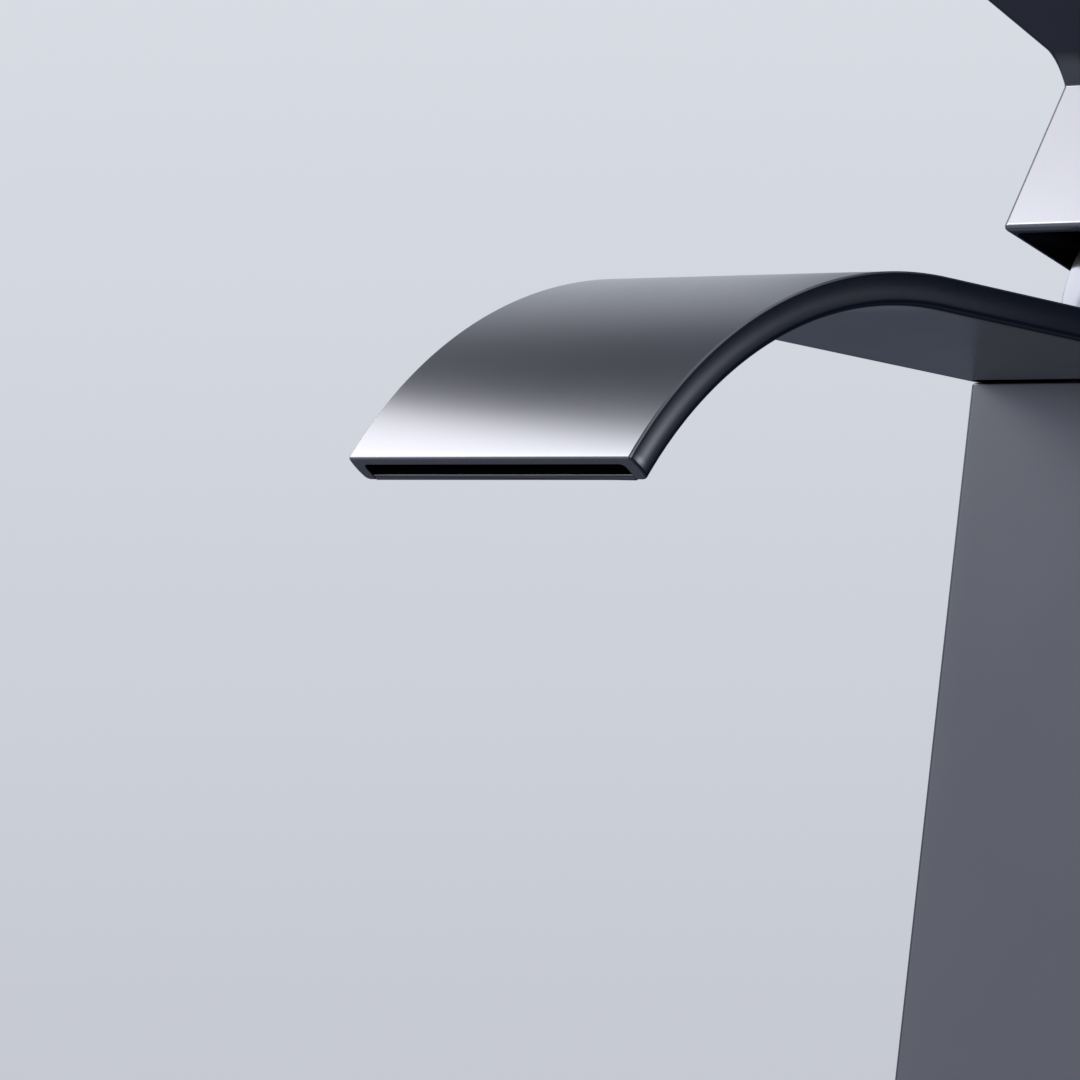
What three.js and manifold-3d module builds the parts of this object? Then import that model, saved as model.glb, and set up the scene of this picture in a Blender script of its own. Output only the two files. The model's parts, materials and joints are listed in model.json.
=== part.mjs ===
// Single-lever waterfall basin mixer, in millimetres, +Z up, spout towards -Y.
// The origin is the centre of the column's foot on the deck. Everything above the column is built in the
// head frame: its origin is where the cartridge axis meets the spout's top face, and its +Z leans back.
import * as THREE from "three";
import { ConvexGeometry } from "three/addons/geometries/ConvexGeometry.js";
import { mergeVertices } from "three/addons/utils/BufferGeometryUtils.js";
import Module from "manifold-3d";

const wasm = await Module();
wasm.setup();

// ---- driving dimensions -------------------------------------------------------------------------------
const GAP = 0.3; // between pieces that touch on the real object
const HEAD_TILT = THREE.MathUtils.degToRad(7.5); // the top face slopes down to the back by this much

const COLUMN = { width: 48, depth: 44, corner: 115, wall: 3.2, round: 1.2 }; // at the top; corner is a height
const COLUMN_LEAN = { front: 7, side: 2.1, back: 1 }; // degrees that each face spreads towards the foot
const FRONT_TOP = -16; // y of the column's front face under the spout
const FOOT_Z = 1.8; // the casting stands on its gasket
const BOSS = { top: 14, bore: 16.3 }; // thick foot that the shank screws into

const RIBBON = { width: 48, thick: 4.2, skin: 1.1, plate: 1.0, side: 2, crest: 61, turn: 58.5 };
const AXIS_SETBACK = 21.4; // from the column's front face to the cartridge axis, along the top face
const STRAIGHT = 57.8; // from the column's front face to where the spout starts to curve
const REAR = 23; // from the cartridge axis to the back of the top face

const PIVOT_H = 5.8; // height of the lever's pivot above the top face
const DOME = { r: 20.5, wall: 1.6, mouth: 14, bore: 16.8, collar: 4 };
const NUT = { r: 18.3, bore: 13.9, low: -9.5, high: -1.5, collar: 16.5, top: 3.6, thread: 18.6 };
const WELL = { r: 17.8, outer: 20.6, floor: -31, under: -41 };
const RISER = { x: 17.8, y: -14.2, r: 2.8, post: 4.8 }; // two, one each side, up to the spout
const PORTS = { hot: [-7.5, -6.5], cold: [7.5, -6.5], outlet: [0, 8] };
const PORT_R = 3.2;
const GALLERY = { z: -33.6, r: 1.7 }; // joins the outlet port to the risers

const CARTRIDGE = { r: 17.3, neck: 13.5, bore: 11.4, shoulder: -10, top: 1.5 };
const DISC = { fixed: 15, moving: 10.2, recess: 6.8, hole: 3 };
const BALL = { z: -14, r: 3.1 }; // on the end of the stem
const STEM = { half: 3.6, top: 24 }; // square; top is above the pivot

const HANDLE_TILT = THREE.MathUtils.degToRad(14.25); // lever part open, about the pivot
const BLOCK = { half: 21.8, low: 5.3, high: 29.3, taper: 6.5, round: 1.2, cavity: 21 };
const POCKET = { half: 19.9, high: 12, round: 1.5 }; // square hollow inside the block's open underside
const LEVER = { rise: 5, reach: 84, root: 5.2, tip: 3.8, width: 39.6, corner: 4 };
const BEND = { r: 10, from: 50, crease: 27 }; // under the lever: it meets the block's face in a crease
const SOCKET = { r: 7, low: 10 };
const SCREW = { r: 2.4, z: 22.4, from: -1, length: 12 }; // runs towards the back of the handle
const CAP = { r: 3.2, depth: 3 }; // closes the screw's hole in the back face
const PIN = { r: 1.5, half: 10.4 };
const LOCATOR = { r: 1.5, x: 11, y: 5 };
const BASE = { low: -30, high: -25.5, recess: 4.9 };
const INLET = { thread: 4.9, high: -35.3, low: -49, hex: 7.2, bore: 4.2, washer: 1.6 };

const SHANK = { r: 16, bore: 13, low: -58, high: 13 };
const DECK_GAP = 25; // between the foot and the clamping washers
const GASKET_INSET = 1.2;
const CIRCLE = 40; // sides of a large circle
const SMALL = 24; // sides of a small one

// ---- finishes -----------------------------------------------------------------------------------------
const finish = (color, roughness, metalness) =>
  new THREE.MeshStandardMaterial({ color, roughness, metalness });
const GUNMETAL = finish(0x4a4d55, 0.32, 0.9);
const CHROME = finish(0xd8dade, 0.12, 1);
const BRASS = finish(0xb99a55, 0.35, 1);
const STEEL = finish(0xa9abae, 0.35, 1);
const RUBBER = finish(0x1b1b1c, 0.85, 0);
const NYLON = finish(0xd9d8d2, 0.5, 0);
const BLACK_NYLON = finish(0x26272a, 0.55, 0);
const CERAMIC = finish(0xf1efe8, 0.2, 0);
const INDEX = finish(0xb23a36, 0.4, 0);

// ---- solids -------------------------------------------------------------------------------------------
function solid(geometry) {
  const g = geometry.index ? geometry.toNonIndexed() : geometry.clone();
  const bare = new THREE.BufferGeometry().setAttribute("position", g.getAttribute("position"));
  const merged = mergeVertices(bare, 1e-4);
  return new wasm.Manifold(
    new wasm.Mesh({
      numProp: 3,
      vertProperties: merged.attributes.position.array,
      triVerts: new Uint32Array(merged.index.array),
    }),
  );
}

function geometryOf(shape) {
  const mesh = shape.getMesh();
  return new THREE.BufferGeometry()
    .setAttribute("position", new THREE.BufferAttribute(new Float32Array(mesh.vertProperties), 3))
    .setIndex(new THREE.BufferAttribute(new Uint32Array(mesh.triVerts), 1));
}

// A solid turned about Z from (radius, height) points, the profile running up its outside.
function turned(points, sides = CIRCLE) {
  const profile = points.map(([r, z]) => new THREE.Vector2(r, z));
  const lathe = new THREE.LatheGeometry(profile, sides);
  return solid(lathe.rotateX(Math.PI / 2));
}

const disc = (r, low, high, sides = CIRCLE) =>
  turned([[0, low], [r, low], [r, high], [0, high]], sides);
const ring = (outer, inner, low, high, sides = CIRCLE) =>
  turned([[inner, low], [outer, low], [outer, high], [inner, high], [inner, low]], sides);
const peg = (r, [x, y], low, high, sides = SMALL) => disc(r, low, high, sides).translate([x, y, 0]);
const ball = (r, z, sides = CIRCLE) =>
  solid(new THREE.SphereGeometry(r, sides, sides / 2).rotateX(Math.PI / 2)).translate([0, 0, z]);
const box = (x, y, low, high) =>
  solid(new THREE.BoxGeometry(2 * x, 2 * y, high - low)).translate([0, 0, (low + high) / 2]);

// A side outline in (y, z), given a width along X and centred on X = 0.
function sided(outline, width) {
  const shape = new THREE.Shape(outline.map(([y, z]) => new THREE.Vector2(y, z)));
  const g = new THREE.ExtrudeGeometry(shape, { depth: width, bevelEnabled: false });
  g.translate(0, 0, -width / 2);
  const axes = new THREE.Matrix4().makeBasis(
    new THREE.Vector3(0, 1, 0), new THREE.Vector3(0, 0, 1), new THREE.Vector3(1, 0, 0));
  return solid(g.applyMatrix4(axes));
}

// The corners of a rectangle, each rounded by a short arc, as (x, y) points.
function roundedRectangle(left, right, front, back, r, steps = 4) {
  const corners = [[right - r, back - r, 0], [left + r, back - r, 90], [left + r, front + r, 180],
    [right - r, front + r, 270]];
  return corners.flatMap(([x, y, from]) =>
    Array.from({ length: steps + 1 }, (_, i) => {
      const a = THREE.MathUtils.degToRad(from + (90 * i) / steps);
      return [x + r * Math.cos(a), y + r * Math.sin(a)];
    }));
}

// The convex solid between two outlines, each with its own height function.
function lofted(lowOutline, lowZ, highOutline, highZ) {
  const points = [
    ...lowOutline.map(([x, y]) => new THREE.Vector3(x, y, lowZ(y))),
    ...highOutline.map(([x, y]) => new THREE.Vector3(x, y, highZ(y)))];
  return solid(new ConvexGeometry(points));
}

const tan = (degrees) => Math.tan(THREE.MathUtils.degToRad(degrees));
const degrees = (radians) => THREE.MathUtils.radToDeg(radians);

// ---- frames -------------------------------------------------------------------------------------------
const topFaceZ = COLUMN.corner + RIBBON.thick / Math.cos(HEAD_TILT); // of the top face over the front face
const HEAD = new THREE.Vector3(0, FRONT_TOP + AXIS_SETBACK * Math.cos(HEAD_TILT),
  topFaceZ - AXIS_SETBACK * Math.sin(HEAD_TILT));
const toWorld = (shape) => shape.rotate([-degrees(HEAD_TILT), 0, 0]).translate(HEAD.toArray());
const tiltHandle = (shape) =>
  shape.rotate([-degrees(HANDLE_TILT), 0, 0]).translate([0, 0, PIVOT_H]);

// ---- column -------------------------------------------------------------------------------------------
// The column's outline at height z, drawn in by inset.
function columnOutline(z, inset, round) {
  const drop = COLUMN.corner - z;
  const x = COLUMN.width / 2 + drop * tan(COLUMN_LEAN.side) - inset;
  const front = FRONT_TOP - drop * tan(COLUMN_LEAN.front) + inset;
  const back = FRONT_TOP + COLUMN.depth + drop * tan(COLUMN_LEAN.back) - inset;
  return roundedRectangle(-x, x, front, back, round);
}

// Height of the plane that lies depth below the top face.
const slopeZ = (depth) => (y) =>
  topFaceZ - depth / Math.cos(HEAD_TILT) - (y - FRONT_TOP) * Math.tan(HEAD_TILT);

function columnBody() {
  const seat = slopeZ(RIBBON.thick + GAP);
  const outer = lofted(columnOutline(FOOT_Z, 0, COLUMN.round), () => FOOT_Z,
    columnOutline(COLUMN.corner, 0, COLUMN.round), seat);
  const inner = lofted(columnOutline(BOSS.top, COLUMN.wall, COLUMN.round), () => BOSS.top,
    columnOutline(COLUMN.corner, COLUMN.wall, COLUMN.round), slopeZ(RIBBON.thick + COLUMN.wall + GAP));
  const posts = [-1, 1].map((side) =>
    peg(RISER.post, [side * RISER.x, RISER.y], WELL.under, 0));
  const cup = posts.reduce((all, post) => all.add(post), disc(WELL.outer, WELL.under, 0));
  let body = outer.subtract(inner).add(toWorld(cup).intersect(outer));

  const holes = [
    disc(WELL.r, WELL.floor, 1),
    disc(NUT.thread, NUT.low - GAP, 1),
    peg(PORT_R, PORTS.outlet, GALLERY.z - 2, WELL.floor + 1),
    ...["hot", "cold"].flatMap((name) => [
      peg(PORT_R, PORTS[name], WELL.under - 1, WELL.floor + 1),
      peg(INLET.thread + GAP / 2, PORTS[name], WELL.under - 1, INLET.high + GAP)]),
    ...[-1, 1].flatMap((side) => [
      peg(RISER.r, [side * RISER.x, RISER.y], GALLERY.z - 2, 1),
      peg(LOCATOR.r + GAP, [side * LOCATOR.x, LOCATOR.y], WELL.floor - 2.6, WELL.floor + 1)]),
    disc(GALLERY.r, -RISER.x, RISER.x, SMALL).rotate([0, 90, 0]).translate([0, RISER.y, GALLERY.z]),
    disc(GALLERY.r, RISER.y, PORTS.outlet[1], SMALL).rotate([-90, 0, 0]).translate([0, 0, GALLERY.z]),
  ];
  body = body.subtract(toWorld(holes.reduce((all, hole) => all.add(hole))));
  return body.subtract(disc(BOSS.bore, FOOT_Z - 1, BOSS.top + 1));
}

// ---- spout --------------------------------------------------------------------------------------------
// A side outline of the spout between two depths below its top face, from the back to the lip.
function ribbonOutline(top, bottom, back, steps = 18) {
  const arcStart = -(AXIS_SETBACK + STRAIGHT);
  const arc = (depth) => Array.from({ length: steps + 1 }, (_, i) => {
    const a = THREE.MathUtils.degToRad((RIBBON.turn * i) / steps);
    const r = RIBBON.crest - depth;
    return [arcStart - r * Math.sin(a), r * Math.cos(a) - RIBBON.crest];
  });
  return [[back, -top], ...arc(top), ...arc(bottom).reverse(), [back, -bottom]];
}

function spoutUpperShell() {
  const blank = sided(ribbonOutline(0, RIBBON.thick, REAR), RIBBON.width);
  const channelWidth = RIBBON.width - 2 * RIBBON.side;
  const long = sided(ribbonOutline(RIBBON.skin, RIBBON.thick + 1, -10), channelWidth);
  const past = sided([[-130, -70], [-100, -70], [-100, 10], [-130, 10]], channelWidth);
  const channel = long.add(past.intersect(sided(ribbonOutlineLip(), channelWidth)));
  const island = disc(DOME.r + 1.2, -20, 10);
  return toWorld(blank.subtract(channel.subtract(island)).subtract(disc(NUT.thread, -20, 10)));
}

// A short continuation of the channel past the lip, so that the slot is cut clean through it.
function ribbonOutlineLip() {
  const a = THREE.MathUtils.degToRad(RIBBON.turn);
  const start = -(AXIS_SETBACK + STRAIGHT);
  const at = (depth, along) => [
    start - (RIBBON.crest - depth) * Math.sin(a) - along * Math.cos(a),
    (RIBBON.crest - depth) * Math.cos(a) - RIBBON.crest - along * Math.sin(a)];
  const past = 1;
  return [at(RIBBON.skin, -past), at(RIBBON.skin, past), at(RIBBON.thick + 1, past),
    at(RIBBON.thick + 1, -past)];
}

function spoutLowerPlate() {
  const width = RIBBON.width - 2 * RIBBON.side - 2 * GAP;
  return toWorld(sided(ribbonOutline(RIBBON.thick - RIBBON.plate, RIBBON.thick,
    -AXIS_SETBACK - GAP - 0.6), width));
}

// ---- bonnet and cartridge -----------------------------------------------------------------------------
function bonnetDome() {
  const shell = ball(DOME.r, PIVOT_H);
  const low = GAP;
  const inside = ball(DOME.r - DOME.wall, PIVOT_H).intersect(box(40, 40, DOME.collar, 60));
  const mouth = disc(DOME.mouth, PIVOT_H, 60);
  const skirt = disc(DOME.r - 0.9, low, PIVOT_H);
  return toWorld(shell.add(skirt).intersect(box(40, 40, low, 60))
    .subtract(inside).subtract(mouth).subtract(disc(DOME.bore, -1, DOME.collar + 1)));
}

function cartridgeNut() {
  const thread = disc(NUT.r, NUT.low, NUT.high);
  const hex = disc(NUT.collar, NUT.high, NUT.top, 12);
  return toWorld(thread.add(hex).subtract(disc(NUT.bore, -20, 20)));
}

function cartridgeHousing() {
  const { r, neck, bore, shoulder, top } = CARTRIDGE;
  const low = -25.2;
  return toWorld(turned([[r - 1.9, low], [r, low], [r, shoulder], [neck, shoulder], [neck, top],
    [bore, top], [bore, shoulder - 0.8], [r - 1.9, shoulder - 0.8], [r - 1.9, low]]));
}

function cartridgeBase() {
  let base = disc(CARTRIDGE.r, BASE.low, BASE.high);
  for (const at of Object.values(PORTS)) {
    base = base.subtract(peg(PORT_R, at, BASE.low - 1, BASE.high + 1));
    base = base.subtract(peg(BASE.recess, at, BASE.low - 1, BASE.low + 1));
  }
  for (const side of [-1, 1])
    base = base.add(peg(LOCATOR.r, [side * LOCATOR.x, LOCATOR.y], BASE.low - 2, BASE.low + 1));
  return toWorld(base);
}

const baseSeal = (at) => toWorld(ring(4.6, 3.4, -30.8, -29.2, SMALL).translate([...at, 0]));

function fixedDisc() {
  const holes = Object.values(PORTS).map(([x, y]) => peg(DISC.hole, [0.9 * x, 0.9 * y], -26, -21));
  return toWorld(holes.reduce((left, hole) => left.subtract(hole), disc(DISC.fixed, -25.2, -21.7)));
}

const movingDisc = () => toWorld(ring(DISC.moving, DISC.recess, -21.4, -18.4));
const discCarrier = () =>
  toWorld(disc(DISC.moving, -18.1, BALL.z + 0.8).subtract(disc(3.5, BALL.z - 3.4, 0, SMALL)));

function stemCollar() {
  const flange = disc(14.6, BALL.z + 1.1, CARTRIDGE.shoulder - 1.1);
  const neck = disc(CARTRIDGE.bore - GAP, CARTRIDGE.shoulder - 1.5, PIVOT_H + 3.4);
  const slot = box(STEM.half + GAP, 8.6, -20, 20);
  const pin = disc(PIN.r + 0.05, -20, 20, SMALL).rotate([0, 90, 0]).translate([0, 0, PIVOT_H]);
  return toWorld(flange.add(neck).subtract(slot).subtract(pin));
}

const stemPin = () =>
  toWorld(disc(PIN.r, -PIN.half, PIN.half, SMALL).rotate([0, 90, 0]).translate([0, 0, PIVOT_H]));

function stem() {
  const { half, top } = STEM;
  const shaft = box(half, half, PIVOT_H - 5, PIVOT_H + top);
  const tail = disc(2.6, BALL.z, PIVOT_H, SMALL);
  const pin = disc(PIN.r + 0.3, -20, 20, SMALL).rotate([0, 90, 0]).translate([0, 0, PIVOT_H]);
  return toWorld(shaft.add(tail).add(ball(BALL.r, BALL.z, SMALL)).subtract(pin));
}

const limitRing = () => toWorld(ring(13.4, 11.7, CARTRIDGE.top + GAP, CARTRIDGE.top + 2.3));

// ---- handle -------------------------------------------------------------------------------------------
// The block narrows upwards: this far from the axis are its front and back faces at height z.
const faceAt = (z) => BLOCK.half - (z - BLOCK.low) * tan(BLOCK.taper);

// The lever's side outline: its underside bends down and meets the block's front face in a crease.
function leverOutline() {
  const back = faceAt(BLOCK.high);
  const turn = (angle) => {
    const a = THREE.MathUtils.degToRad(angle);
    const from = THREE.MathUtils.degToRad(BEND.from);
    return [-faceAt(BEND.crease) + BEND.r * (Math.cos(a) - Math.cos(from)),
      BEND.crease + BEND.r * (Math.sin(a) - Math.sin(from))];
  };
  const steps = 7;
  const sweep = 90 - LEVER.rise - BEND.from;
  const bend = Array.from({ length: steps + 1 }, (_, i) => turn(BEND.from + sweep * (1 - i / steps)));
  const [startY, startZ] = bend[0];
  const under = (y) => startZ + (startY - y) * tan(LEVER.rise);
  const thick = (y) => LEVER.root + ((LEVER.tip - LEVER.root) * (back - y)) / (back + LEVER.reach);
  const over = (y) => under(y) + thick(y);
  return [[back, over(back)], [-LEVER.reach, over(-LEVER.reach)], [-LEVER.reach, under(-LEVER.reach)],
    ...bend, [back - 1, BEND.crease]];
}

// The lever's outline from above, as wide as the top of the block and with rounded corners at its tip.
function leverPlan() {
  const half = LEVER.width / 2;
  return roundedRectangle(-half, half, -LEVER.reach, 40, LEVER.corner);
}

function handle() {
  const rectangle = (x, y, r) => roundedRectangle(-x, x, -y, y, r);
  const block = lofted(rectangle(BLOCK.half, BLOCK.half, BLOCK.round), () => BLOCK.low,
    rectangle(LEVER.width / 2, faceAt(BLOCK.high), BLOCK.round), () => BLOCK.high);
  const square = rectangle(POCKET.half, POCKET.half, POCKET.round);
  const pocket = lofted(square, () => BLOCK.low - 1, square, () => POCKET.high);
  const plan = lofted(leverPlan(), () => 0, leverPlan(), () => 60);
  const lever = sided(leverOutline(), LEVER.width + 20).intersect(plan);
  const socket = disc(SOCKET.r, SOCKET.low, BLOCK.high - 2, SMALL)
    .rotate([degrees(HANDLE_TILT), 0, 0]);
  const stemHole = box(STEM.half + GAP, STEM.half + GAP, 0, STEM.top + 0.6)
    .rotate([degrees(HANDLE_TILT), 0, 0]);
  const hollow = ball(BLOCK.cavity, 0).add(pocket);
  const screw = towardsBack(SCREW.r + GAP, -6, 40);
  const cap = towardsBack(CAP.r + GAP, capSeat, 40);
  const made = block.add(lever).subtract(hollow).add(socket).subtract(stemHole);
  return toWorld(tiltHandle(made.subtract(screw).subtract(cap)));
}

const backFace = faceAt(SCREW.z);
const capSeat = backFace - CAP.depth;

// A pin at the set screw's height, from one distance to another behind the handle's axis.
const towardsBack = (r, from, to, sides = SMALL) =>
  disc(r, from, to, sides).rotate([-90, 0, 0]).translate([0, 0, SCREW.z]);

function setScrew() {
  const end = SCREW.from + SCREW.length;
  const key = towardsBack(1.3, end - 3, end + 1, 6);
  return toWorld(tiltHandle(towardsBack(SCREW.r, SCREW.from, end).subtract(key)));
}

const screwCap = () => toWorld(tiltHandle(towardsBack(CAP.r, capSeat + GAP, backFace + 0.1)));

// ---- inlets and fixings -------------------------------------------------------------------------------
function inletInsert(at) {
  const under = WELL.under - INLET.washer - 0.2;
  const thread = disc(INLET.thread - GAP / 2, under, INLET.high, SMALL);
  const hex = disc(INLET.hex, INLET.low, under, 6);
  const socket = disc(INLET.bore, INLET.low - 1, under - 1, SMALL);
  const through = disc(2.6, INLET.low, 0, SMALL);
  return toWorld(thread.add(hex).subtract(socket).subtract(through).translate([...at, 0]));
}

const inletWasher = (at) => toWorld(ring(6.2, INLET.thread, WELL.under - INLET.washer - 0.1,
  WELL.under - 0.1, SMALL).translate([...at, 0]));

const shank = () => ring(SHANK.r, SHANK.bore, SHANK.low, SHANK.high);

function baseGasket() {
  const outline = columnOutline(0, GASKET_INSET, COLUMN.round);
  return lofted(outline, () => 0, outline, () => FOOT_Z - 0.1).subtract(disc(SHANK.r + 1, -1, 3));
}

const rubberWasher = () => ring(27, SHANK.r + GAP, -DECK_GAP - 3, -DECK_GAP);
const metalWasher = () => ring(26.5, SHANK.r + GAP, -DECK_GAP - 5.4, -DECK_GAP - 3.2);

function mountingNut() {
  const low = -DECK_GAP - 18;
  const high = -DECK_GAP - 5.6;
  const hex = disc(23.5, low, high, 6);
  const flange = disc(24.5, high - 2.5, high);
  return hex.add(flange).subtract(disc(SHANK.r + GAP, low - 1, high + 1));
}

// ---- assembly -----------------------------------------------------------------------------------------
const faucet = new THREE.Group();

function place(name, shape, material) {
  const mesh = new THREE.Mesh(geometryOf(shape), material);
  mesh.name = name;
  faucet.add(mesh);
}

place("column_body", columnBody(), GUNMETAL);
place("spout_upper_shell", spoutUpperShell(), GUNMETAL);
place("spout_lower_plate", spoutLowerPlate(), GUNMETAL);
place("bonnet_dome", bonnetDome(), CHROME);
place("cartridge_nut", cartridgeNut(), BRASS);
place("cartridge_housing", cartridgeHousing(), NYLON);
place("cartridge_base", cartridgeBase(), BLACK_NYLON);
for (const [name, at] of Object.entries(PORTS)) place("base_seal_" + name, baseSeal(at), RUBBER);
place("fixed_ceramic_disc", fixedDisc(), CERAMIC);
place("moving_ceramic_disc", movingDisc(), CERAMIC);
place("disc_carrier", discCarrier(), NYLON);
place("stem_collar", stemCollar(), BLACK_NYLON);
place("stem_pin", stemPin(), STEEL);
place("stem", stem(), STEEL);
place("temperature_limit_ring", limitRing(), INDEX);
place("handle", handle(), GUNMETAL);
place("handle_set_screw", setScrew(), STEEL);
place("set_screw_cap", screwCap(), GUNMETAL);
for (const name of ["hot", "cold"]) {
  place("inlet_insert_" + name, inletInsert(PORTS[name]), BRASS);
  place("inlet_washer_" + name, inletWasher(PORTS[name]), RUBBER);
}
place("shank", shank(), BRASS);
place("base_gasket", baseGasket(), RUBBER);
place("clamp_washer_rubber", rubberWasher(), RUBBER);
place("clamp_washer_steel", metalWasher(), STEEL);
place("mounting_nut", mountingNut(), BRASS);

export default faucet;
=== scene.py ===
import json
import math

import bmesh
import bpy
from mathutils import Matrix, Vector


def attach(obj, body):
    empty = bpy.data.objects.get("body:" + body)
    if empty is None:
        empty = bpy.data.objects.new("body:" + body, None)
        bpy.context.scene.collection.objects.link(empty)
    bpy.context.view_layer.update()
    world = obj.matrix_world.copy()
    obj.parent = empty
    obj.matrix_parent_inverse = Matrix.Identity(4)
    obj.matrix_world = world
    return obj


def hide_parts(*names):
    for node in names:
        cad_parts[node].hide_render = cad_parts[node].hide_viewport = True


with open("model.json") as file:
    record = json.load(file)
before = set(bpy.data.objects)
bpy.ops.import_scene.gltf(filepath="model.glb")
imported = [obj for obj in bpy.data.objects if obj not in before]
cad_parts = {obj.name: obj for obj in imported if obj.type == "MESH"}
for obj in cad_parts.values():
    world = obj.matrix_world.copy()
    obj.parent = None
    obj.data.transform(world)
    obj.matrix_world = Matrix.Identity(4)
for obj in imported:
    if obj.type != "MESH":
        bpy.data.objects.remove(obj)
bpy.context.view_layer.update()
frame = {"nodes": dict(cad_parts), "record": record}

MM = 0.001
rad = math.radians

HEAD_TILT = 7.5
COLUMN = {"half": 24, "front": -16, "depth": 44, "corner": 115, "foot": 1.8, "wall": 3.2, "round": 1.3}
LEAN = {"front": 7, "side": 2.1, "back": 1}
RIBBON = {"half": 24, "thick": 4.2, "skin": 1.2, "plate": 1.0, "inner": 22, "crest": 61, "turn": 58.5}
SETBACK, STRAIGHT, REAR = 21.4, 57.8, 23
PIVOT_H, HANDLE_TILT = 5.8, 14.25
BLOCK = {"half": 21.8, "low": 5.3, "high": 29.3, "taper": 6.5, "round": 1.2, "cavity": 21}
POCKET = {"half": 20.4, "high": 12}
LEVER = {"rise": 5, "reach": 84, "root": 5.2, "tip": 3.8, "half": 19.8, "corner": 4, "soft": 2.4}
BEND = {"r": 10, "from": 50, "crease": 27}
WELL = {"r": 17.8, "mouth": 18.6, "step": -9.8, "floor": -31}  # for the cartridge, in the head frame
BOSS = {"bore": 16.3, "top": 14}  # thick foot that the shank screws into
HOLLOW = {"top": 76, "depth": 42}  # the column's hollow ends this far up, and this far below the top face
DOME = {"r": 20.5, "wall": 1.6, "mouth": 14}
SCREW = {"r": 2.7, "z": 22.4, "cap_r": 3.35, "cap": 3}  # its hole in the back of the handle
SHANK = {"r": 16, "bore": 13, "low": -58, "high": 13}
AROUND = 96  # points around a large round piece

top_z = COLUMN["corner"] + RIBBON["thick"] / math.cos(rad(HEAD_TILT))
HEAD = (Matrix.Translation((0, COLUMN["front"] + SETBACK * math.cos(rad(HEAD_TILT)),
                            top_z - SETBACK * math.sin(rad(HEAD_TILT))))
        @ Matrix.Rotation(rad(-HEAD_TILT), 4, "X"))
HANDLE = HEAD @ Matrix.Translation((0, 0, PIVOT_H)) @ Matrix.Rotation(rad(-HANDLE_TILT), 4, "X")
WORLD = Matrix.Identity(4)


# ---- shapes ---------------------------------------------------------------------------------------------
def arc(centre, r, start, end, steps):
    """Points on a circle's arc, angles in degrees, both ends included."""
    turns = [rad(start + (end - start) * i / steps) for i in range(steps + 1)]
    return [(centre[0] + r * math.cos(a), centre[1] + r * math.sin(a)) for a in turns]


def rounded(corners, steps=4):
    """An outline through (x, y, radius) corners, each turned into an arc of that radius."""
    outline = []
    for i, (x, y, r) in enumerate(corners):
        here = Vector((x, y))
        to_last = (Vector(corners[i - 1][:2]) - here).normalized()
        to_next = (Vector(corners[(i + 1) % len(corners)][:2]) - here).normalized()
        if r == 0:
            outline.append((x, y))
            continue
        half = to_last.angle(to_next) / 2
        centre = here + (to_last + to_next).normalized() * r / math.sin(half)
        start = here + to_last * r / math.tan(half) - centre
        end = here + to_next * r / math.tan(half) - centre
        for k in range(steps + 1):
            outline.append(tuple(centre + start.slerp(end, k / steps).normalized() * r))
    return outline


def inset(outline, amounts):
    """The outline moved inwards, by one amount or by one for each point."""
    n = len(outline)
    pairs = [(outline[i], outline[(i + 1) % n]) for i in range(n)]
    side = 1 if sum(a[0] * b[1] - b[0] * a[1] for a, b in pairs) > 0 else -1
    normals = [Vector((a[1] - b[1], b[0] - a[0])).normalized() * side for a, b in pairs]
    moved = []
    for i, point in enumerate(outline):
        both = normals[i - 1] + normals[i]
        amount = amounts[i] if isinstance(amounts, list) else amounts
        moved.append(tuple(Vector(point) + both * 2 / both.length_squared * amount))
    return moved


def mesh_from(name, build, matrix):
    """An object whose mesh build(new_vertex, new_face) makes, with lengths in millimetres."""
    bm = bmesh.new()
    build(lambda p: bm.verts.new(matrix @ Vector(p) * MM), bm.faces.new)
    bmesh.ops.remove_doubles(bm, verts=bm.verts, dist=1e-6)
    bmesh.ops.recalc_face_normals(bm, faces=bm.faces)
    mesh = bpy.data.meshes.new(name)
    bm.to_mesh(mesh)
    bm.free()
    obj = bpy.data.objects.new(name, mesh)
    bpy.context.scene.collection.objects.link(obj)
    return obj


def loft(name, loops, matrix=WORLD, wrap=False):
    """A closed surface through matching loops of points, capped at both ends or joined end to end."""
    def build(vertex, face):
        rows = [[vertex(p) for p in loop] for loop in loops]
        for a, b in zip(rows, rows[1:] + rows[:1] if wrap else rows[1:]):
            for i in range(len(a)):
                j = (i + 1) % len(a)
                face((a[i], a[j], b[j], b[i]))
        if not wrap:
            face(rows[0])
            face(rows[-1])
    return mesh_from(name, build, matrix)


def circle(r, z, turns=None, steps=AROUND):
    turns = turns or [2 * math.pi * i / steps for i in range(steps)]
    return [(r * math.cos(a), r * math.sin(a), z) for a in turns]


def lathe(name, profile, matrix=WORLD, wrap=False, steps=AROUND):
    """A turned piece from (radius, height) points."""
    return loft(name, [circle(max(r, 0.01), z, steps=steps) for r, z in profile], matrix, wrap)


def applied(obj):
    """Bakes the object's modifiers into its mesh."""
    graph = bpy.context.evaluated_depsgraph_get()
    obj.data = bpy.data.meshes.new_from_object(obj.evaluated_get(graph))
    obj.modifiers.clear()
    return obj


def combine(obj, tools, operation="DIFFERENCE"):
    """Cuts the tools out of the object, or joins them to it."""
    for tool in tools:
        step = obj.modifiers.new("combine", "BOOLEAN")
        step.operation, step.solver, step.object = operation, "EXACT", tool
    applied(obj)
    for tool in tools:
        bpy.data.objects.remove(tool)
    return obj


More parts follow.
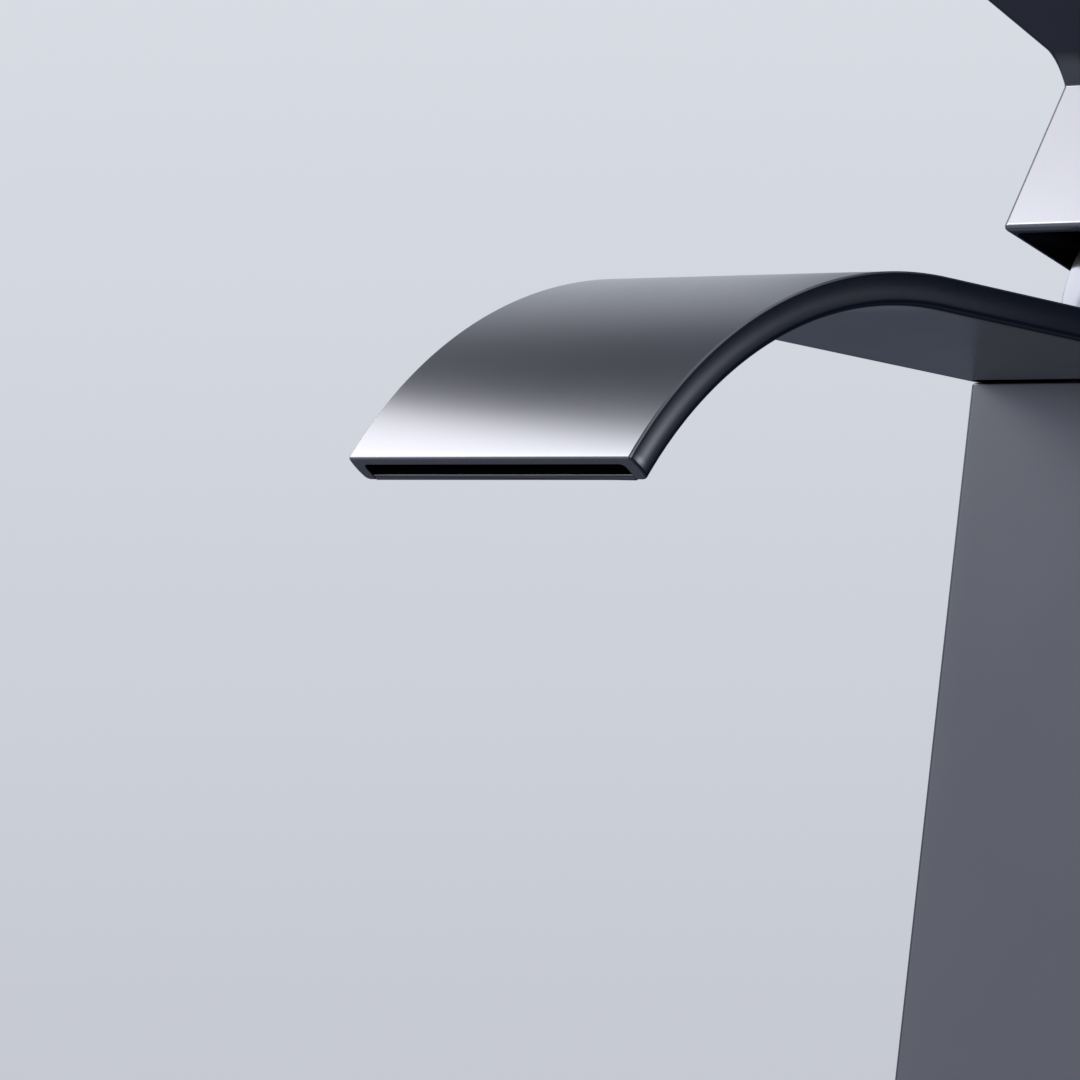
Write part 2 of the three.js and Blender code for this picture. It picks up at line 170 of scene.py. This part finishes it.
def piece(obj, body, material, nodes, sharp=30):
    """Gives a finished mesh its shading, its material and its body, and hides the CAD nodes it stands for.
    """
    obj.data.shade_smooth()
    obj.data.set_sharp_from_angle(angle=rad(sharp))
    even = obj.modifiers.new("even_normals", "WEIGHTED_NORMAL")
    even.keep_sharp = True
    obj.data.materials.clear()
    obj.data.materials.append(material)
    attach(obj, body)
    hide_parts(*nodes)
    return obj


# ---- materials ------------------------------------------------------------------------------------------
def surface(name, colour, metallic, roughness, grain, bump, spread=0.05, tone=0.06, blotch=60, **sockets):
    """A material with fine grain in its roughness and relief, and slow variation in its colour.

    grain is the number of grain cells in a metre along X, Y and Z, bump is the grain's height in metres,
    spread is how far the roughness varies, tone how far the colour does, and blotch the slow scale."""
    material = bpy.data.materials.new(name)
    material.use_nodes = True
    nodes, links = material.node_tree.nodes, material.node_tree.links
    shader = nodes["Principled BSDF"]
    shader.inputs["Metallic"].default_value = metallic
    for socket, value in sockets.items():
        shader.inputs[socket.replace("_", " ")].default_value = value
    place = nodes.new("ShaderNodeTexCoord")
    stretch = nodes.new("ShaderNodeMapping")
    stretch.inputs["Scale"].default_value = grain
    fine = nodes.new("ShaderNodeTexNoise")
    fine.inputs["Scale"].default_value = 1
    fine.inputs["Detail"].default_value = 3
    slow = nodes.new("ShaderNodeTexNoise")
    slow.inputs["Scale"].default_value = blotch
    slow.inputs["Detail"].default_value = 4
    links.new(place.outputs["Object"], stretch.inputs["Vector"])
    links.new(stretch.outputs["Vector"], fine.inputs["Vector"])
    links.new(place.outputs["Object"], slow.inputs["Vector"])
    both = nodes.new("ShaderNodeMath")
    both.operation = "ADD"
    links.new(fine.outputs["Fac"], both.inputs[0])
    links.new(slow.outputs["Fac"], both.inputs[1])
    rough = nodes.new("ShaderNodeMapRange")
    rough.inputs["From Min"].default_value = 0.6
    rough.inputs["From Max"].default_value = 1.4
    rough.inputs["To Min"].default_value = roughness - spread
    rough.inputs["To Max"].default_value = roughness + spread
    links.new(both.outputs[0], rough.inputs["Value"])
    links.new(rough.outputs[0], shader.inputs["Roughness"])
    tint = nodes.new("ShaderNodeValToRGB")
    tint.color_ramp.elements[0].position = 0.35
    tint.color_ramp.elements[1].position = 0.65
    tint.color_ramp.elements[0].color = [c * (1 - tone) for c in colour] + [1]
    tint.color_ramp.elements[1].color = [min(1, c * (1 + tone)) for c in colour] + [1]
    links.new(slow.outputs["Fac"], tint.inputs["Fac"])
    links.new(tint.outputs["Color"], shader.inputs["Base Color"])
    relief = nodes.new("ShaderNodeBump")
    relief.inputs["Strength"].default_value = 0.5
    relief.inputs["Distance"].default_value = bump
    links.new(fine.outputs["Fac"], relief.inputs["Height"])
    links.new(relief.outputs["Normal"], shader.inputs["Normal"])
    return material


GREY = (0.099, 0.102, 0.117)  # the dark plating
spout_metal = surface("gunmetal_spout", GREY, 1, 0.29, (2600, 900, 2600), 5e-7, 0.015, 0.012)
column_metal = surface("gunmetal_column", GREY, 1, 0.31, (2600, 2600, 900), 5e-7, 0.015, 0.012)
handle_metal = surface("gunmetal_handle", GREY, 1, 0.22, (2600, 900, 2600), 5e-7, 0.015, 0.012)
chrome = surface("bright_chrome", (0.70, 0.71, 0.74), 1, 0.19, (1500, 1500, 1500), 2e-6, 0.02, 0.02)
brass = surface("turned_brass", (0.62, 0.43, 0.17), 1, 0.34, (300, 300, 4000), 2e-5, 0.08, 0.12)
steel = surface("turned_steel", (0.56, 0.57, 0.58), 1, 0.32, (500, 500, 3000), 1e-5, 0.07, 0.06)
rubber = surface("black_rubber", (0.018, 0.018, 0.019), 0, 0.72, (1800, 1800, 1800), 3e-5, 0.08, 0.2)
white_nylon = surface("white_nylon", (0.74, 0.73, 0.69), 0, 0.45, (900, 900, 900), 1.5e-5, 0.06, 0.03)
black_nylon = surface("black_nylon", (0.022, 0.023, 0.025), 0, 0.42, (900, 900, 900), 1.5e-5, 0.08, 0.15)
ceramic = surface("lapped_ceramic", (0.86, 0.84, 0.79), 0, 0.16, (2500, 2500, 2500), 3e-6, 0.04, 0.02)
red_nylon = surface("red_nylon", (0.45, 0.045, 0.04), 0, 0.42, (900, 900, 900), 1.5e-5, 0.06, 0.08)


# ---- spout ----------------------------------------------------------------------------------------------
arc_length = RIBBON["crest"] * rad(RIBBON["turn"])
straight_length = REAR + SETBACK + STRAIGHT
lip = straight_length + arc_length


def along(s, x, depth):
    """A point of the ribbon s along it from the back, x across it and depth below its top face."""
    if s <= straight_length:
        return (x, REAR - s, -depth)
    a = (s - straight_length) / RIBBON["crest"]
    r = RIBBON["crest"] - depth
    return (x, REAR - straight_length - r * math.sin(a), r * math.cos(a) - RIBBON["crest"])


def stations(start, end):
    """Places along the ribbon, close together where it curves."""
    straight = [start + (straight_length - start) * i / 8 for i in range(8)]
    curved = [straight_length + (end - straight_length) * i / 64 for i in range(65)]
    return straight + curved


def ribbon(name, section, start, end, start_round, end_round):
    """A length of ribbon with the given (x, depth) section, its two ends' edges rounded over."""
    loops = []
    for k in range(4):
        a = rad(30 * k)
        cut = inset(section, start_round * (1 - math.sin(a)))
        loops.append([along(start + start_round * (1 - math.cos(a)), *p) for p in cut])
    for s in stations(start + start_round, end - end_round)[1:-1]:
        loops.append([along(s, *p) for p in section])
    for k in range(5):
        a = rad(22.5 * k)
        cut = inset(section, end_round * (1 - math.cos(a)))
        loops.append([along(end - end_round + end_round * math.sin(a), *p) for p in cut])
    return loft(name, loops, HEAD)


half, thick = RIBBON["half"], RIBBON["thick"]
bulge = 0.22  # the sides swell by this much at mid-height
swell = [(half - bulge * (d / 1.9 - 1) ** 2, d) for d in (0.5 + 0.25 * i for i in range(11))]
shell_section = rounded([(bulge - half, 0, 0.4), (half - bulge, 0, 0.4), *[(x, d, 0) for x, d in swell],
                         (half - bulge, thick, 1.0), (bulge - half, thick, 1.0),
                         *[(-x, d, 0) for x, d in reversed(swell)]], 6)
shell = ribbon("spout_shell", shell_section, 0, lip, 0.5, 0.4)
inner, skin = RIBBON["inner"], RIBBON["skin"]
channel_section = rounded([(-inner, skin, 0.7), (inner, skin, 0.7), (inner, 6, 0), (-inner, 6, 0)])
channel_loops = [[along(s, *p) for p in channel_section] for s in [2.5] + stations(2.5, lip - 0.2)[1:]]
for past, wider in ((0.0, 0.03), (0.1, 0.1), (1.0, 1.0)):
    channel_loops.append([along(lip - 0.05 + past, *p) for p in inset(channel_section, -wider)])
channel = loft("channel", channel_loops, HEAD)
bore = lathe("bore", [(WELL["mouth"], -12), (WELL["mouth"], 3)], HEAD)
combine(shell, [channel, bore])
piece(shell, "faucet_body", spout_metal, ["spout_upper_shell"])

plate_half, plate_top = inner - 0.03, thick - RIBBON["plate"]
plate_section = rounded([(-plate_half, plate_top, 0.12), (plate_half, plate_top, 0.12),
                         (plate_half, thick, 0.03), (-plate_half, thick, 0.03)], 3)
plate = ribbon("spout_plate", plate_section, REAR + SETBACK + 0.9, lip, 0.2, 0.2)
piece(plate, "faucet_body", spout_metal, ["spout_lower_plate"])


# ---- column ---------------------------------------------------------------------------------------------
def column_outline(z, inward, r):
    """The column's outline at height z, drawn inwards, as points spread evenly enough to match a circle."""
    drop = COLUMN["corner"] - z
    x = COLUMN["half"] + drop * math.tan(rad(LEAN["side"])) - inward
    front = COLUMN["front"] - drop * math.tan(rad(LEAN["front"])) + inward
    back = COLUMN["front"] + COLUMN["depth"] + drop * math.tan(rad(LEAN["back"])) - inward
    corners = rounded([(x, back, r), (-x, back, r), (-x, front, r), (x, front, r)], 6)
    outline = []
    for i, (px, py) in enumerate(corners):
        outline.append((px, py))
        if i % 7 == 6:
            qx, qy = corners[(i + 1) % len(corners)]
            outline += [(px + (qx - px) * t / 18, py + (qy - py) * t / 18) for t in range(1, 18)]
    return outline


def slope(depth):
    """The height of the plane that lies depth below the spout's top face."""
    lean = rad(HEAD_TILT)
    return lambda y: top_z - depth / math.cos(lean) - (y - COLUMN["front"]) * math.tan(lean)


flat = lambda z: lambda y: z
at = lambda outline, height: [(x, y, height(y)) for x, y in outline]
seat = thick + 0.08
axis_y = HEAD.translation.y
turns = [math.atan2(y - axis_y, x) for x, y in column_outline(COLUMN["corner"], 0, COLUMN["round"])]
well = lambda r, z: [tuple(HEAD @ Vector(p)) for p in circle(r, z, turns)]
foot, wall, corner_r = COLUMN["foot"], COLUMN["wall"], COLUMN["round"]
foot_turns = [math.atan2(y, x) for x, y in column_outline(foot, 0, corner_r)]
loops = [well(WELL["r"], WELL["floor"]), well(WELL["r"], WELL["step"])]
loops += [well(WELL["mouth"], WELL["step"]), well(WELL["mouth"], -seat)]
for k in range(4):
    a = rad(30 * k)
    edge = column_outline(COLUMN["corner"], 0.35 * (1 - math.sin(a)), corner_r)
    loops.append(at(edge, slope(seat + 0.35 * (1 - math.cos(a)))))
for k in range(4):
    a = rad(30 * k)
    edge = column_outline(foot, 0.6 * (1 - math.cos(a)), corner_r)
    loops.append(at(edge, flat(foot + 0.6 * (1 - math.sin(a)))))
boss_r, boss_top = BOSS["bore"], BOSS["top"]
loops += [circle(boss_r + 0.4, foot, foot_turns), circle(boss_r, foot + 0.4, foot_turns)]
loops.append(circle(boss_r, boss_top, foot_turns))
loops.append(at(column_outline(boss_top, wall, corner_r), flat(boss_top)))
loops.append(at(column_outline(HOLLOW["top"], wall, corner_r), slope(HOLLOW["depth"])))
column = loft("column", loops)
piece(column, "faucet_body", column_metal, ["column_body"])


# ---- dome -----------------------------------------------------------------------------------------------
def dome_angle(r, radius):
    return math.degrees(math.acos(r / radius))


outer, inside = DOME["r"], DOME["r"] - DOME["wall"]
start = -math.degrees(math.asin((PIVOT_H - 0.35) / outer))
profile = arc((0, PIVOT_H), outer, start, dome_angle(DOME["mouth"] + 0.5, outer), 40)
profile += [(DOME["mouth"] + 0.1, PIVOT_H + 14.25), (DOME["mouth"], PIVOT_H + 13.9)]
profile += arc((0, PIVOT_H), inside, dome_angle(DOME["mouth"], inside), 4, 16)
profile += [(16.9, PIVOT_H + 1.2), (16.8, 0.5), (17.0, 0.3), (19.3, 0.3)]
dome = lathe("bonnet_dome_skin", profile, HEAD, wrap=True, steps=128)
piece(dome, "faucet_body", chrome, ["bonnet_dome"])


# ---- handle ---------------------------------------------------------------------------------------------
lean = math.tan(rad(BLOCK["taper"]))
rise = math.tan(rad(LEVER["rise"]))
face_y = lambda z: BLOCK["half"] - (z - BLOCK["low"]) * lean
neck = face_y(BLOCK["high"])
crease_y, crease_z = -face_y(BEND["crease"]), BEND["crease"]
bend_y = crease_y - BEND["r"] * math.cos(rad(BEND["from"]))
bend_z = crease_z - BEND["r"] * math.sin(rad(BEND["from"]))
bend = arc((bend_y, bend_z), BEND["r"], 90 - LEVER["rise"], BEND["from"], 14)
root, root_z = bend[0]
under = lambda y: root_z + (root - y) * rise
thickness = lambda y: LEVER["root"] + (LEVER["tip"] - LEVER["root"]) * (neck - y) / (neck + LEVER["reach"])
over = lambda y: under(y) + thickness(y)


def handle_outline():
    """The handle's side outline as (y, z, radius of its side edge), and where its parts begin."""
    reach = -LEVER["reach"]
    low_corner, high_corner = (reach, under(reach)), (reach, over(reach))
    tip_low = rounded([(*high_corner, 0), (*low_corner, 1.3), (root, under(root), 0)], 5)[1:-1]
    tip_high = rounded([(root, over(root), 0), (*high_corner, 1.0), (*low_corner, 0)], 5)[1:-1]
    first, last = tip_low[-1][0], reach + LEVER["corner"]
    lengths = [first + (last - first) * i / 6 for i in range(1, 6)]
    lengths += [last + (root - last) * i / 24 for i in range(24)]
    soft, tight = LEVER["soft"], BLOCK["round"]
    points = [(y, z, 1.0 + (soft - 1.0) * i / 5) for i, (y, z) in enumerate(tip_low)]
    marks = {"low_start": len(points)}
    points += [(y, under(y), soft) for y in lengths]
    marks["root"] = len(points)
    for i, (y, z) in enumerate(bend[:-1]):
        points.append((y, z, tight + (soft - tight) * (1 - i / (len(bend) - 1)) ** 1.5))
    low = BLOCK["low"]
    block = rounded([(*bend[-2], 0), (*bend[-1], 0.3), (-face_y(low), low, 0.8), (face_y(low), low, 0.8),
                     (neck, BLOCK["high"], 0)])
    points += [(y, z, tight) for y, z in block[1:-1]]
    marks["back"] = len(points)
    points.append((face_y(root_z), root_z, tight))
    top_back = rounded([(face_y(low), low, 0), (neck, over(neck), 1.1), (root, over(root), 0)])
    points += [(y, z, tight) for y, z in top_back[1:-1]]
    marks["high_root"] = len(points)
    points.append((root, over(root), 0.9))
    points += [(y, over(y), 0.9) for y in reversed(lengths)]
    marks["high_end"] = len(points) - 1
    points += [(y, z, 0.9) for y, z in tip_high]
    return points, marks


def handle_width(y, z):
    """Half the handle's width: the lever's, with its rounded tip, or the block's, wider downwards."""
    past = -LEVER["reach"] + LEVER["corner"] - y
    if past > 0:
        corner = LEVER["corner"]
        return LEVER["half"] - corner + math.sqrt(max(0, corner ** 2 - past ** 2))
    return LEVER["half"] + (BLOCK["half"] - LEVER["half"]) * max(0, root_z - z) / (root_z - BLOCK["low"])


def build_handle(vertex, face):
    points, marks = handle_outline()
    outline = [(y, z) for y, z, r in points]
    radii = [r for y, z, r in points]
    n, rings = len(points), []
    angles = [rad(90 * k / 8) for k in range(9)]
    for side in (-1, 1):
        for a in angles[::-1] if side < 0 else angles:
            moved = inset(outline, [r * (1 - math.cos(a)) for r in radii])
            rings.append([vertex((side * (handle_width(y, z) - r * (1 - math.sin(a))), y, z))
                          for (y, z), r in zip(moved, radii)])
    for a, b in zip(rings, rings[1:]):
        for i in range(n):
            j = (i + 1) % n
            face((a[i], a[j], b[j], b[i]))
    for cap in (rings[0], rings[-1]):
        first, back, high, end = marks["root"], marks["back"], marks["high_root"], marks["high_end"]
        for i in range(marks["low_start"], first):
            partner = high + first - i
            face((cap[i], cap[i + 1], cap[partner - 1], cap[partner]))
        face(cap[first:back + 1])
        face([cap[first]] + cap[back:high + 1])
        face(cap[:marks["low_start"] + 1] + cap[end:])


handle = mesh_from("handle_casting", build_handle, HANDLE)
cavity = lathe("cavity", arc((0, 0), BLOCK["cavity"], -90, 90, 48), HANDLE, steps=96)
stem_axis = HANDLE @ Matrix.Rotation(rad(HANDLE_TILT), 4, "X")
slot_corners = rounded([(-3.9, -3.9, 0.3), (3.9, -3.9, 0.3), (3.9, 3.9, 0.3), (-3.9, 3.9, 0.3)])
stem_slot = loft("stem_slot", [[(x, y, z) for x, y in slot_corners] for z in (5, 24.6)], stem_axis)
to_back = HANDLE @ Matrix.Translation((0, 0, SCREW["z"])) @ Matrix.Rotation(rad(-90), 4, "X")
rim = face_y(SCREW["z"])
screw_profile = [(SCREW["r"], -6), (SCREW["r"], rim - SCREW["cap"]), (SCREW["cap_r"], rim - SCREW["cap"])]
screw_profile += [(SCREW["cap_r"], rim - 0.45), (3.8, rim + 0.02), (3.8, rim + 4)]
screw_hole = lathe("screw_hole", screw_profile, to_back, steps=64)
side, tall = POCKET["half"], POCKET["high"]
pocket_corners = rounded([(-side, -side, 1.5), (side, -side, 1.5), (side, side, 1.5), (-side, side, 1.5)])
pocket = loft("pocket", [[(x, y, z) for x, y in pocket_corners] for z in (2, tall)], HANDLE)
combine(cavity, [pocket], "UNION")
combine(handle, [cavity, stem_slot, screw_hole])
piece(handle, "lever_unit", handle_metal, ["handle"], sharp=28)

cap_profile = [(0, rim - 2.7), (3.1, rim - 2.7), (3.22, rim - 2.55), (3.22, rim - 0.35), (3.1, rim - 0.1)]
cap_profile += [(2.6, rim + 0.02), (1.6, rim + 0.08), (0, rim + 0.1)]
screw_cap = lathe("set_screw_cap_skin", cap_profile, to_back, steps=64)
piece(screw_cap, "lever_unit", handle_metal, ["set_screw_cap"])


# ---- below the deck -------------------------------------------------------------------------------------
def thread_radius(turn, z, low, high, r, depth, pitch):
    """The radius of a screw thread at a place, running out over one pitch at each end."""
    wave = abs(2 * ((z / pitch - turn / (2 * math.pi)) % 1) - 1)
    full = max(0, min(1, (z - low) / pitch, (high - z) / pitch))
    return r - depth * (1 - full) - depth * full * min(1, max(0, 1.5 * wave - 0.25))


low, high, pitch = SHANK["low"], -0.5, 1.5
shank_turns = [2 * math.pi * i / 64 for i in range(64)]
loops = []
count = int((high - low) / pitch * 6)
for i in range(count + 1):
    z = low + (high - low) * i / count
    ring = [thread_radius(a, z, low, high, SHANK["r"], 0.85, pitch) for a in shank_turns]
    loops.append([(r * math.cos(a), r * math.sin(a), z) for r, a in zip(ring, shank_turns)])
bore_r = SHANK["bore"]
loops += [circle(r, z, shank_turns) for r, z in
          ((15.2, SHANK["high"]), (bore_r + 0.5, SHANK["high"]), (bore_r, SHANK["high"] - 0.5),
           (bore_r, low + 0.8), (bore_r + 0.8, low))]
shank = loft("threaded_shank", loops, wrap=True)
piece(shank, "faucet_body", brass, ["shank"], sharp=50)

gasket_corners = column_outline(0, 1.2, 1.3)
gasket_turns = [math.atan2(y, x) for x, y in gasket_corners]
loops = [at(gasket_corners, flat(0.2)), at(gasket_corners, flat(1.6))]
loops += [at(inset(gasket_corners, 0.15), flat(1.72)), circle(17.2, 1.72, gasket_turns)]
loops += [circle(17.2, 0, gasket_turns), at(inset(gasket_corners, 0.2), flat(0))]
gasket = loft("foot_gasket", loops, wrap=True)
piece(gasket, "faucet_body", rubber, ["base_gasket"])


def washer(name, outer_r, inner_r, low, high, edge):
    corners = [(inner_r, low, edge), (outer_r, low, edge), (outer_r, high, edge), (inner_r, high, edge)]
    return lathe(name, rounded(corners), wrap=True)


piece(washer("rubber_washer", 27, 16.5, -28, -25, 0.6), "faucet_body", rubber,
      ["clamp_washer_rubber"])
piece(washer("steel_washer", 26.5, 16.4, -30.35, -28.2, 0.3), "faucet_body", steel,
      ["clamp_washer_steel"])


def hex_nut(name, flat_r, low, high, flange_r, flange, bore, matrix=WORLD):
    """A hexagonal nut with chamfered points, a flange on top and a countersunk bore."""
    across = flat_r / math.cos(rad(30))
    points = [(across * math.cos(rad(60 * i)), across * math.sin(rad(60 * i)), 0.4) for i in range(6)]
    outline = rounded(points, 4)
    body = loft(name, [[(x, y, z) for x, y in outline] for z in (low, high - flange / 2)], matrix)
    limit = [(0, low - 0.1), (flat_r - 0.4, low - 0.1), (flat_r - 0.4, low), (across + 0.2, low + 1.9),
             (across + 0.2, high), (0, high)]
    combine(body, [lathe("limit", limit, matrix)], "INTERSECT")
    if flange_r:
        step = high - flange
        corners = [(0.01, step, 0), (flange_r, step, 0.5), (flange_r, high, 0.4), (0.01, high, 0)]
        combine(body, [lathe("flange", rounded(corners), matrix)], "UNION")
    hole = [(bore + 0.8, low - 1), (bore + 0.8, low), (bore, low + 0.8), (bore, high - 0.8),
            (bore + 0.8, high), (bore + 0.8, high + 1)]
    return combine(body, [lathe("hole", hole, matrix)])


nut = hex_nut("mounting_nut_skin", 20.35, -43, -30.6, 24.5, 2.5, 16.3)
piece(nut, "faucet_body", brass, ["mounting_nut"])


# ---- inner pieces that keep their CAD shape -------------------------------------------------------------
finishes = {"brass": brass, "steel": steel, "rubber": rubber, "white_nylon": white_nylon,
            "black_nylon": black_nylon, "ceramic": ceramic, "limit_red": red_nylon,
            "gunmetal": column_metal, "bright_chrome": chrome}
slot_of = {part["node"]: part["material_slot"] for part in frame["record"]["subparts"]}
for name, node in frame["nodes"].items():
    node.data.materials.clear()
    node.data.materials.append(finishes[slot_of[name]])


# ---- floor, light and camera ----------------------------------------------------------------------------
FLOOR_Z = -58.2


def floor_material():
    """Pale and matt, thinning out to nothing towards the floor's rim."""
    material = bpy.data.materials.new("pale_floor")
    material.use_nodes = True
    nodes, links = material.node_tree.nodes, material.node_tree.links
    shader = nodes["Principled BSDF"]
    shader.inputs["Base Color"].default_value = (0.72, 0.74, 0.78, 1)
    shader.inputs["Roughness"].default_value = 0.9
    place = nodes.new("ShaderNodeTexCoord")
    far = nodes.new("ShaderNodeVectorMath")
    far.operation = "LENGTH"
    fade = nodes.new("ShaderNodeMapRange")
    fade.interpolation_type = "SMOOTHSTEP"
    fade.inputs["From Min"].default_value = 0.12
    fade.inputs["From Max"].default_value = 0.36
    fade.inputs["To Min"].default_value = 1
    fade.inputs["To Max"].default_value = 0
    links.new(place.outputs["Object"], far.inputs[0])
    links.new(far.outputs["Value"], fade.inputs["Value"])
    links.new(fade.outputs[0], shader.inputs["Alpha"])
    return material


floor = loft("floor", [circle(360, FLOOR_Z - 2), circle(360, FLOOR_Z)])
floor.data.materials.append(floor_material())
floor.visible_glossy = False

world = bpy.data.worlds.new("studio")
bpy.context.scene.world = world
world.use_nodes = True
nodes, links = world.node_tree.nodes, world.node_tree.links
nodes.clear()
direction = nodes.new("ShaderNodeTexCoord").outputs["Generated"]


def lobe(towards, full, gone):
    """1 within the angle full of a direction and 0 beyond the angle gone, in degrees."""
    dot = nodes.new("ShaderNodeVectorMath")
    dot.operation = "DOT_PRODUCT"
    dot.inputs[1].default_value = Vector(towards).normalized()
    links.new(direction, dot.inputs[0])
    ramp = nodes.new("ShaderNodeMapRange")
    ramp.interpolation_type = "SMOOTHSTEP"
    ramp.inputs["From Min"].default_value = math.cos(rad(gone))
    ramp.inputs["From Max"].default_value = math.cos(rad(full))
    links.new(dot.outputs["Value"], ramp.inputs["Value"])
    return ramp.outputs[0]


def calculate(operation, a, b):
    node = nodes.new("ShaderNodeMath")
    node.operation = operation
    for socket, value in zip(node.inputs, (a, b)):
        if isinstance(value, (int, float)):
            socket.default_value = value
        else:
            links.new(value, socket)
    return node.outputs[0]


height = nodes.new("ShaderNodeSeparateXYZ")
links.new(direction, height.inputs[0])
horizon = nodes.new("ShaderNodeMapRange")
horizon.interpolation_type = "SMOOTHSTEP"
horizon.inputs["From Min"].default_value = -0.14
horizon.inputs["From Max"].default_value = 0.22
horizon.inputs["To Min"].default_value = 0.2
horizon.inputs["To Max"].default_value = 0.42
links.new(height.outputs["Z"], horizon.inputs["Value"])
level = horizon.outputs[0]
# Dark and bright parts of the studio: a direction, the two angles of lobe(), and a share or a strength.
shades = (((0.71, 0.71, 0.0), 38, 70, 0.95), ((-0.71, 0.42, -0.58), 14, 28, 0.8),
          ((-0.7, 0.28, 0.65), 4, 22, 0.6))
for towards, full, gone, share in shades:
    darker = calculate("MULTIPLY", lobe(towards, full, gone), share)
    level = calculate("MULTIPLY", level, calculate("SUBTRACT", 1, darker))
glows = (((-0.76, -0.63, -0.08), 5, 30, 0.92), ((0.8, -0.5, 0.5), 12, 40, 2.2),
         ((0.0, 0.3, 1.0), 10, 45, 0.8), ((-0.6, -0.15, -0.78), 12, 40, 0.25))
for towards, full, gone, strength in glows:
    level = calculate("ADD", level, calculate("MULTIPLY", lobe(towards, full, gone), strength))
white = calculate("MULTIPLY", lobe((-0.70, -0.43, 0.58), 9, 23), 6.2)

# For red, green and blue: the shares of the soft light and the white light, and a faint cool haze.
tint = nodes.new("ShaderNodeCombineXYZ")
for i, (share, whiteness, haze) in enumerate(((0.95, 1.02, 0), (0.98, 1.0, 0.01), (1.06, 0.96, 0.05))):
    soft = calculate("ADD", calculate("MULTIPLY", level, share), haze)
    links.new(calculate("ADD", soft, calculate("MULTIPLY", white, whiteness)), tint.inputs[i])
studio = nodes.new("ShaderNodeBackground")
links.new(tint.outputs[0], studio.inputs["Color"])
span = nodes.new("ShaderNodeMapRange")
span.inputs["From Min"].default_value = -0.085
span.inputs["From Max"].default_value = 0.07
links.new(height.outputs["Z"], span.inputs["Value"])
backdrop_ramp = nodes.new("ShaderNodeValToRGB")
backdrop_ramp.color_ramp.elements[0].color = (0.565, 0.584, 0.645, 1)
backdrop_ramp.color_ramp.elements[1].color = (0.686, 0.716, 0.776, 1)
links.new(span.outputs[0], backdrop_ramp.inputs["Fac"])
backdrop = nodes.new("ShaderNodeBackground")
links.new(backdrop_ramp.outputs["Color"], backdrop.inputs["Color"])
choice = nodes.new("ShaderNodeMixShader")
links.new(nodes.new("ShaderNodeLightPath").outputs["Is Camera Ray"], choice.inputs["Fac"])
links.new(studio.outputs[0], choice.inputs[1])
links.new(backdrop.outputs[0], choice.inputs[2])
links.new(choice.outputs[0], nodes.new("ShaderNodeOutputWorld").inputs["Surface"])


def softbox(name, edge, inwards, across, size, energy, colour, target=(0, -100, 115)):
    """A lamp facing the target. Its long side runs through the edge point, and it lies inwards of there."""
    lamp = bpy.data.lights.new(name, "AREA")
    lamp.shape = "RECTANGLE"
    lamp.size, lamp.size_y = across * MM, size * MM
    lamp.energy, lamp.color = energy, colour
    facing = (Vector(target) - Vector(edge)).normalized()
    inwards = Vector(inwards) - facing * facing.dot(Vector(inwards))
    inwards.normalize()
    turned = Matrix((inwards, inwards.cross(facing), -facing)).transposed()
    holder = bpy.data.objects.new(name, lamp)
    holder.matrix_world = Matrix.Translation((Vector(edge) + inwards * across / 2) * MM) @ turned.to_4x4()
    holder.visible_camera = False
    bpy.context.scene.collection.objects.link(holder)


softbox("key", (-198, -128, 303), (-0.8, -0.6, 0), 100, 200, 0.43, (1, 0.98, 0.95))
softbox("side_fill", (-149, 64, 217), (-1, 0, 0), 165, 175, 0.048, (0.94, 0.97, 1))
softbox("rim_strip", (237, -4, 101), (0, 1, 0), 60, 20, 0.05, (0.94, 0.97, 1), (24, -120, 104))

camera = bpy.data.objects.new("camera", bpy.data.cameras.new("camera"))
bpy.context.scene.collection.objects.link(camera)
camera.location = Vector((591.5, -707.74, 102.64)) * MM
towards = Vector((9.16, -128.66, 95.09)) * MM - camera.location
camera.rotation_euler = towards.to_track_quat("-Z", "Y").to_euler()
camera.data.lens = 233.3
camera.data.sensor_width = 36
camera.data.clip_start = 0.05
bpy.context.scene.camera = camera
bpy.context.scene.view_settings.view_transform = "Standard"

bpy.context.view_layer.update()
